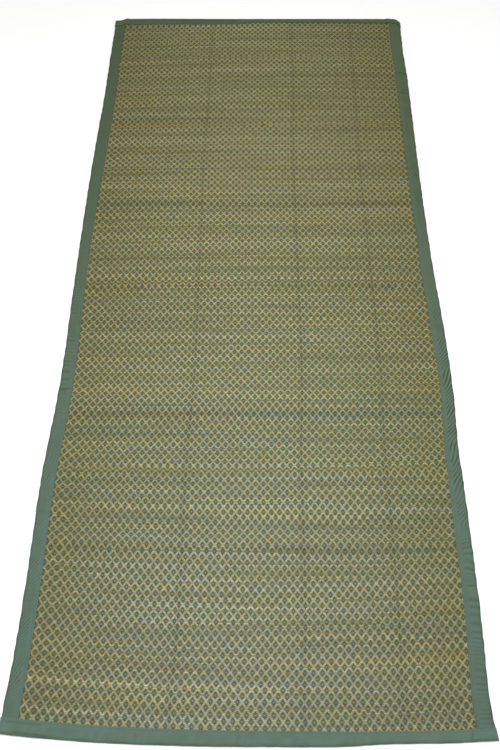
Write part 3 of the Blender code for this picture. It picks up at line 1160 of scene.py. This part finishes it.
def add_surface(add, colour, roughness, ior, height, bump, others=None):
    """The bumps and the shader that each finish ends in."""
    strength, high = bump
    bumps = add("Bump", strength, high * MM, inputs={"Height": height})
    inputs = {"Base Color": colour, "Roughness": roughness, "IOR": ior, "Normal": bumps}
    shader = add("BsdfPrincipled", inputs=inputs | (others or {}))
    add("OutputMaterial", inputs={"Surface": shader})


def from_arm(add, across, along):
    """How many threads a place is from the middle of a straw arm. It is 0 there, up to 1 in the
    rest of the arm, 2 or 3 in the green ring inside it, and 4 at the dot."""
    across = add("Math", across, HALF_REPEAT, operation="PINGPONG")
    along = add("Math", along, HALF_REPEAT, operation="PINGPONG")
    total = add("Math", across, along, operation="ADD")
    past = add("Math", total, HALF_REPEAT, operation="SUBTRACT")
    return add("Math", past, operation="ABSOLUTE")


def ring_share(add, far):
    """1 at the middle of a float in the ring, 0 at its ends and less beyond them."""
    beside = add("Math", far, RING_MIDDLE, operation="SUBTRACT")
    beside = add("Math", beside, operation="ABSOLUTE")
    return add("Math", 1.0, beside, operation="SUBTRACT")


def arm_share(add, far):
    """1 at the middle of a float in an arm or of the dot, 0 at its ends."""
    arm = add("MapRange", far, *ARM_FLOAT)
    dot = add("MapRange", far, *DOT_FLOAT)
    return add("Math", arm, dot, operation="MAXIMUM")


def crown(add, place, thread, square):
    """1 along a thread's middle, falling to 0 at its sides."""
    beside = add("Math", place, thread, operation="SUBTRACT")
    beside = add("Math", beside, operation="ABSOLUTE")
    beside = add("Math", beside, 2.0, operation="MULTIPLY")
    fall = add("Math", beside, square, operation="POWER")
    return add("Math", 1.0, fall, operation="SUBTRACT")


def patches(add, threads, counts):
    """Three soft patterns of patches, with so many of them for each end and each pick."""
    spot = add("Mapping", threads, None, None, (*counts, 1.0))
    noise = add("TexNoise", spot, 1.0, 2.0, noise_dimensions="2D").node
    return add("SeparateColor", noise.outputs["Color"]).node.outputs


def two_tones(add, pattern, low_tone, high_tone):
    """One tone in some patches of a soft pattern and another in the rest."""
    share = add("MapRange", pattern, *NOISE_MIDDLE, 0.0, 1.0)
    return add("Mix", share, low_tone, high_tone, data_type="RGBA")


def weave_pattern(add, cotton_on_top):
    """Which thread lies on top at each place, and how far along and across it the place is."""
    threads = add("UVMap", uv_map="threads")
    place = add("SeparateXYZ", threads).node
    end_place, pick_place = place.outputs[0], place.outputs[1]
    end = add("Math", end_place, operation="ROUND")
    pick = add("Math", pick_place, operation="ROUND")
    end_turn = add("Math", end_place, HALF_REPEAT, operation="PINGPONG")
    pick_turn = add("Math", pick_place, HALF_REPEAT, operation="PINGPONG")
    mat_place = add("SeparateXYZ", add("TexCoord").node.outputs["Object"]).node
    to_far_end = add("MapRange", mat_place.outputs[1], *ALONG_MAT)

    # The ends of each float are slanted, because the threads beside it press on them.
    along_yarn = from_arm(add, end, pick_place)
    along_strip = from_arm(add, end_place, pick)
    far = add("Mix", 0.5, along_yarn, along_strip)

    # The straw spreads where two arms cross and towards the mat's far end, where the yarn was
    # drawn tighter, and its width is never quite even.
    to_crossing = add("Math", end_turn, pick_turn, operation="SUBTRACT")
    to_crossing = add("Math", to_crossing, operation="ABSOLUTE")
    crossing = add("MapRange", to_crossing, 1.0, HALF_REPEAT, 0.0, 1.0)
    uneven = add("TexNoise", threads, ARM_PATCHES, 1.0, noise_dimensions="2D")
    uneven = add("MapRange", uneven, *NOISE, -ARM_UNEVEN, ARM_UNEVEN)
    spread = add("MapRange", to_far_end, ARM_SPREAD_START, 1.0, 0.0, ARM_SPREAD)
    arm_half = add("Mix", crossing, ARM_HALF, CROSSING_HALF)
    arm_half = add("Math", arm_half, uneven, operation="ADD")
    arm_half = add("Math", arm_half, spread, operation="ADD")
    past_arm = add("Math", far, arm_half, operation="GREATER_THAN")
    is_dot = add("Math", far, DOT_START, operation="GREATER_THAN")
    in_ring = add("Math", past_arm, is_dot, operation="SUBTRACT")
    if cotton_on_top:
        is_cotton = in_ring
        cotton_share = ring_share(add, along_yarn)
        grass_share = arm_share(add, along_strip)
    else:
        is_cotton = add("Math", 1.0, in_ring, operation="SUBTRACT")
        cotton_share = arm_share(add, along_yarn)
        grass_share = ring_share(add, along_strip)
    return SimpleNamespace(
        threads=threads,
        end_place=end_place,
        pick_place=pick_place,
        end=end,
        pick=pick,
        pick_turn=pick_turn,
        to_far_end=to_far_end,
        far=far,
        crossing=crossing,
        is_dot=is_dot,
        is_cotton=is_cotton,
        cotton_share=cotton_share,
        grass_share=grass_share,
        cotton_crown=crown(add, end_place, end, COTTON_SQUARE),
        grass_crown=crown(add, pick_place, pick, GRASS_SQUARE),
    )


def straw_colour(add, weave, patch):
    """The colour of the split grass."""
    # Each strip of grass is a few hundred millimetres long and has its own shade.
    strip_start = add("TexWhiteNoise", weave.pick, noise_dimensions="1D")
    strip = add("Math", weave.end_place, 1.0 / STRIP_ENDS, strip_start, operation="MULTIPLY_ADD")
    strip = add("Math", strip, operation="FLOOR")
    strip_and_pick = add("CombineXYZ", strip, weave.pick)
    grass = add("ValToRGB", add("TexWhiteNoise", strip_and_pick, noise_dimensions="2D"))
    shades = grass.node.color_ramp
    shades.interpolation = "CONSTANT"
    for k, colour in enumerate(GRASS_SHADES):
        stop = shades.elements[k] if k < 2 else shades.elements.new(1.0)
        stop.position = k / len(GRASS_SHADES)
        stop.color = linear(colour)

    # The grass's own fibres run along each strip, which is painted darker where it dips and at
    # its sides: painted shade.
    fibre_along = add("Math", weave.end_place, FIBRES[0], operation="MULTIPLY")
    fibre_across = add("Math", weave.pick_place, FIBRES[1], operation="MULTIPLY")
    fibre_place = add("CombineXYZ", fibre_along, fibre_across)
    fibres = add("TexNoise", fibre_place, 1.0, 2.0, noise_dimensions="2D")
    fibre_light = add("MapRange", fibres, *NOISE_WIDE, 1 - FIBRE_LIGHT, 1 + FIBRE_LIGHT)
    dip = add("MapRange", weave.grass_share, *GRASS_DIP_PAINTED_SHADE)
    side = add("MapRange", weave.grass_crown, *GRASS_SIDE_PAINTED_SHADE)
    light = add("Math", dip, side, operation="MULTIPLY")
    light = add("Math", light, fibre_light, operation="MULTIPLY")
    grass = add("VectorMath", grass, light, operation="SCALE")

    # The straw is cleanest where the arms cross. Between, green shows through it.
    arm_tone = add("Mix", weave.crossing, ARM_TONE, CROSSING_TONE, data_type="RGBA")
    grass = add("VectorMath", grass, arm_tone, operation="MULTIPLY")

    # Yellow and grey patches, about as wide as a crossing, with bleached ones among them.
    patch_tone = two_tones(add, patch[0], GRASS_YELLOWER, GRASS_GREYER)
    patch_light = add("MapRange", patch[1], *NOISE, 1 - PATCH_LIGHT, 1 + PATCH_LIGHT)
    grass = add("VectorMath", grass, patch_tone, operation="MULTIPLY")
    return add("VectorMath", grass, patch_light, operation="SCALE")


def dot_colour(add, weave, patch):
    """The colour of a diamond's dot. It is clear in some diamonds and lost in others, more of
    them to the far end."""
    clear = add("MapRange", patch[2], *DOT_CLEAR)
    fade = add("MapRange", weave.to_far_end, *DOT_FADE)
    clear = add("Math", clear, fade, operation="MULTIPLY")
    return add("Mix", clear, COTTON_MIDDLE, DOT_COLOUR, data_type="RGBA")


def yarn_colour(add, weave):
    """The colour of the cotton yarn."""
    # It is painted darkest at the diamond's two tips, where it comes up from under the strips,
    # and darker at each yarn's sides: painted shadow and shade. It is browner at its sides, and
    # bluest round the dot.
    from_row = add("Math", weave.pick_turn, HALF_REPEAT / 2, operation="SUBTRACT")
    from_row = add("Math", from_row, operation="ABSOLUTE")
    from_row = add("Math", HALF_REPEAT / 2, from_row, operation="SUBTRACT")
    rise = add("MapRange", from_row, *COTTON_ROW_PAINTED_SHADOW)
    edge = add("MapRange", weave.cotton_crown, *COTTON_EDGE_PAINTED_SHADE)
    lit = add("Math", rise, edge, operation="MULTIPLY")
    round_dot = add("MapRange", weave.far, *ROUND_DOT)
    cotton = add("Mix", round_dot, COTTON_SIDE, COTTON_MIDDLE, data_type="RGBA")
    cotton = add("Mix", lit, COTTON_TIP_PAINTED_SHADOW, cotton, data_type="RGBA")

    # No end took the dye quite like the next, and each is thicker and thinner along it.
    end_shade = add("TexWhiteNoise", weave.end, noise_dimensions="1D")
    end_light = add("MapRange", end_shade, 0.0, 1.0, 1 - END_LIGHT, 1 + END_LIGHT)
    slub_along = add("Math", weave.pick_place, YARN_SLUBS, operation="MULTIPLY")
    slub_place = add("CombineXYZ", weave.end, slub_along)
    slubs = add("TexNoise", slub_place, 1.0, 3.0, noise_dimensions="2D")
    slub_light = add("MapRange", slubs, *NOISE, 1 - YARN_LIGHT, 1 + YARN_LIGHT)
    light = add("Math", end_light, slub_light, operation="MULTIPLY")
    cotton = add("VectorMath", cotton, light, operation="SCALE")

    # The dye is uneven: bluer or browner and greener or redder patches, longer along the mat's
    # width. Towards the far end the yarn is painted darker and browner, and at the near end
    # cooler: painted light that falls off along the mat, and a painted sheen near the near end.
    dye = patches(add, weave.threads, DYE_PATCHES)
    blue_tone = two_tones(add, dye[0], COTTON_BLUER, COTTON_BROWNER)
    green_tone = two_tones(add, dye[1], COTTON_GREENER, COTTON_REDDER)
    along_painted_light_tone = add("Mix", weave.to_far_end, COTTON_NEAR_PAINTED_SHEEN, COTTON_FAR_PAINTED_FALLOFF, data_type="RGBA")
    for tone in (blue_tone, green_tone, along_painted_light_tone):
        cotton = add("VectorMath", cotton, tone, operation="MULTIPLY")
    return cotton


def woven_grass(name, cotton_on_top):
    """Split sedge grass woven over cotton yarn. The dried grass is a flat waxy strip, straw
    coloured with paler, redder and greener strips among it, and has a dull shine. The cotton is
    a soft matt green yarn, painted darker where it dips under the grass, and the grass is painted
    darker where it dips and at its sides: painted shade."""
    material, add = new_material(name)
    weave = weave_pattern(add, cotton_on_top)
    patch = patches(add, weave.threads, GRASS_PATCHES)
    bundle = patches(add, weave.threads, BUNDLES)

    # Strips from one bundle lie together, more yellowed or bleached than the next ones.
    grass = straw_colour(add, weave, patch)
    bundle_light = add("MapRange", bundle[1], *NOISE, 1 - BUNDLE_LIGHT, 1 + BUNDLE_LIGHT)
    grass = add("VectorMath", grass, bundle_light, operation="SCALE")
    grass = add("Mix", weave.is_dot, grass, dot_colour(add, weave, patch), data_type="RGBA")
    colour = add("Mix", weave.is_cotton, grass, yarn_colour(add, weave), data_type="RGBA")
    bundle_tone = two_tones(add, bundle[0], BUNDLE_YELLOWER, BUNDLE_GREYER)
    green_tone = two_tones(add, bundle[2], BUNDLE_GREENER, BUNDLE_REDDER)
    for tone in (bundle_tone, green_tone, add("VertexColor", layer_name="tint")):
        colour = add("VectorMath", colour, tone, operation="MULTIPLY")

    cotton_lift = add("MapRange", weave.cotton_share, *COTTON_LIFT)
    cotton_height = add("Math", weave.cotton_crown, cotton_lift, operation="MULTIPLY")
    grass_lift = add("MapRange", weave.grass_share, *GRASS_LIFT)
    grass_height = add("Math", weave.grass_crown, grass_lift, operation="MULTIPLY")
    height = add("Mix", weave.is_cotton, grass_height, cotton_height)
    roughness = add("Mix", weave.is_cotton, GRASS_ROUGHNESS, COTTON_ROUGHNESS)
    add_surface(add, colour, roughness, GRASS_IOR, height, WEAVE_BUMP)
    return material


def cotton_tape(name):
    """Plain woven cotton tape, dyed a dull sea green. It is matt, with a faint bloom of fibres,
    and its threads show as a fine grain."""
    material, add = new_material(name)
    place = add("UVMap", uv_map="cloth")
    grain_place = add("Mapping", place, None, None, (TAPE_GRAIN, TAPE_GRAIN, 1.0))
    sides = add("SeparateXYZ", grain_place).node
    wave_along = add("Math", sides.outputs[0], operation="SINE")
    wave_across = add("Math", sides.outputs[1], operation="SINE")
    grain = add("Math", wave_along, wave_across, operation="MULTIPLY")

    slub_place = add("Mapping", place, None, None, (*TAPE_SLUBS, 1.0))
    slubs = add("TexNoise", slub_place, 1.0, 3.0, noise_dimensions="2D")
    clouds = add("TexNoise", place, TAPE_CLOUDS, 3.0, noise_dimensions="2D")
    cloud = add("MapRange", clouds, *NOISE, 0.0, 1.0)
    colour = add("Mix", cloud, TAPE_COOL, TAPE_WARM, data_type="RGBA")
    grain_light = add("MapRange", grain, -1.0, 1.0, 1 - GRAIN_LIGHT, 1 + GRAIN_LIGHT)
    slub_light = add("MapRange", slubs, *NOISE, 1 - TAPE_SLUB_LIGHT, 1 + TAPE_SLUB_LIGHT)
    light = add("Math", grain_light, slub_light, operation="MULTIPLY")
    colour = add("VectorMath", colour, light, operation="SCALE")
    tint = add("VertexColor", layer_name="tint")
    colour = add("VectorMath", colour, tint, operation="MULTIPLY")

    roughness = add("MapRange", slubs, *NOISE, *TAPE_ROUGHNESS)
    sheen = {"Sheen Weight": TAPE_SHEEN}
    add_surface(add, colour, roughness, COTTON_IOR, grain, TAPE_BUMP, sheen)
    return material


def cotton_thread(name):
    """Twisted cotton sewing thread, a shade deeper than the tape, with its twist as fine bars."""
    material, add = new_material(name)
    place = add("TexCoord").node.outputs["Object"]
    scale = 1.0 / (THREAD_TWIST * MM)
    twist = add("TexWave", place, scale, 0.5, 2.0, bands_direction="DIAGONAL")
    colour = add("Mix", twist, THREAD_DARK, THREAD_LIGHT, data_type="RGBA")
    roughness = add("MapRange", twist, 0.0, 1.0, *THREAD_ROUGHNESS)
    add_surface(add, colour, roughness, COTTON_IOR, twist, THREAD_BUMP)
    return material


def studio_paper(name):
    """Matt white background paper, with a very faint tooth. It glows a little, in place of the
    lamps that light the paper alone."""
    material, add = new_material(name)
    place = add("TexCoord").node.outputs["Object"]
    tooth = add("TexNoise", place, PAPER_TOOTH, 4.0)
    colour = add("Mix", tooth, PAPER_DARK, PAPER_LIGHT, data_type="RGBA")
    roughness = add("MapRange", tooth, *NOISE, *PAPER_ROUGHNESS)
    glow = {"Emission Color": (1.0, 1.0, 1.0, 1.0), "Emission Strength": PAPER_GLOW}
    add_surface(add, colour, roughness, PAPER_IOR, tooth, PAPER_BUMP, glow)
    return material


def add_floor(material):
    """A floor that rises into a backdrop all round, like a shallow dish of paper."""
    points = [(0.0, 0.0, FLOOR_HEIGHT)]
    for ring in range(1, FLOOR_RINGS + 1):
        share = ring / FLOOR_RINGS
        past_flat = max(0.0, (share - FLOOR_FLAT) / (1.0 - FLOOR_FLAT))
        rise = FLOOR_HEIGHT + FLOOR_RISE * past_flat**2
        for side in range(FLOOR_SIDES):
            angle = math.tau * side / FLOOR_SIDES
            out = FLOOR_RADIUS * share
            points.append((out * math.cos(angle), out * math.sin(angle), rise))
    faces = [[0, 1 + side, 1 + (side + 1) % FLOOR_SIDES] for side in range(FLOOR_SIDES)]
    for ring in range(FLOOR_RINGS - 1):
        first = 1 + ring * FLOOR_SIDES
        for side in range(FLOOR_SIDES):
            low, beside = first + side, first + (side + 1) % FLOOR_SIDES
            faces.append([low, low + FLOOR_SIDES, beside + FLOOR_SIDES, beside])
    floor = add_piece("studio_floor", np.array(points) * MM, faces, (material,))


def light_studio():
    """A big soft box over the middle of the mat, and an even pale light from all round."""
    light = bpy.data.lights.new("soft_box", "AREA")
    light.size = SOFT_BOX_SIZE * MM
    light.energy = SOFT_BOX_WATTS
    light.color = linear(SOFT_BOX_COLOUR)[:3]
    soft_box = bpy.data.objects.new("soft_box", light)
    soft_box.location = Vector(SOFT_BOX_PLACE) * MM
    bpy.context.scene.collection.objects.link(soft_box)

    world = bpy.data.worlds.new("studio")
    world.use_nodes = True
    background = world.node_tree.nodes["Background"]
    background.inputs["Color"].default_value = linear(SKY_COLOUR)
    background.inputs["Strength"].default_value = SKY_STRENGTH
    bpy.context.scene.world = world
    bpy.context.scene.view_settings.view_transform = "Standard"


def add_camera():
    """The camera that the mat was photographed with."""
    down, turn, roll = (math.radians(v) for v in (CAMERA_DOWN, CAMERA_TURN, CAMERA_ROLL))
    forward = Vector(
        (math.sin(turn) * math.cos(down), math.cos(turn) * math.cos(down), -math.sin(down))
    )
    level_right = Vector((math.cos(turn), -math.sin(turn), 0.0))
    level_up = level_right.cross(forward)
    right = level_right * math.cos(roll) + level_up * math.sin(roll)
    up = level_up * math.cos(roll) - level_right * math.sin(roll)
    data = bpy.data.cameras.new("camera")
    data.lens = CAMERA_LENS
    data.sensor_width = SENSOR
    camera = bpy.data.objects.new("camera", data)
    turned = Matrix((right, up, -forward)).transposed().to_4x4()
    place = in_frame(*CAMERA_PLACE)
    camera.matrix_world = Matrix.Translation(Vector(place.tolist())) @ turned
    bpy.context.scene.collection.objects.link(camera)
    bpy.context.scene.camera = camera


# Each tape: its name, the solid it stands for, how its cloth lies, which edge of the mat it is on
# and which way is inwards there, its widths and folds, and how light it is towards the mat's near
# end and far end, which is partly painted light.
TAPES = table(
    "name solid lay edge inward widths depth climb pitch creases near_light far_light",
    (
        "left_tape", "left_binding", side_tape_points, left_edge, 1.0, LEFT_TAPE,
        LEFT_PUCKER_DEPTH, LEFT_PUCKER_CLIMB, LEFT_PUCKER_PITCH, LEFT_CREASES, 1.05, 0.93,
    ),
    (
        "right_tape", "right_binding", side_tape_points, right_edge, -1.0, RIGHT_TAPE,
        RIGHT_PUCKER_DEPTH, RIGHT_PUCKER_CLIMB, RIGHT_PUCKER_PITCH, RIGHT_CREASES, 0.96, 1.18,
    ),
    (
        "near_tape", "near_binding", end_tape_points, near_edge, 1.0, NEAR_TAPE,
        END_PUCKER_DEPTH, END_PUCKER_CLIMB, END_PUCKER_PITCH, NEAR_CREASES, 1.15, 1.15,
    ),
    (
        "far_tape", "far_binding", end_tape_points, far_edge, -1.0, FAR_TAPE,
        END_PUCKER_DEPTH, END_PUCKER_CLIMB, END_PUCKER_PITCH, FAR_CREASES, 1.08, 1.08,
    ),
)


def main():
    add_camera()
    light_studio()
    add_floor(studio_paper("white_background_paper"))
    face = woven_grass("split_sedge_grass_and_cotton_yarn", cotton_on_top=True)
    under = woven_grass("split_sedge_grass_and_cotton_yarn_reverse", cotton_on_top=False)
    tape_cloth = cotton_tape("dyed_cotton_tape")
    thread = cotton_thread("cotton_sewing_thread")

    panel = add_woven_panel(face, under)
    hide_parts("woven_panel")
    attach(panel, "root")

    for plan in TAPES:
        tape, cloth_lines, flat_size = add_tape(plan, tape_cloth)
        stitches = add_stitches(plan.name + "_stitches", cloth_lines, thread)
        for piece in (tape, stitches):
            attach(piece, "root")
        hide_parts(plan.solid)


main()
bpy.context.view_layer.update()
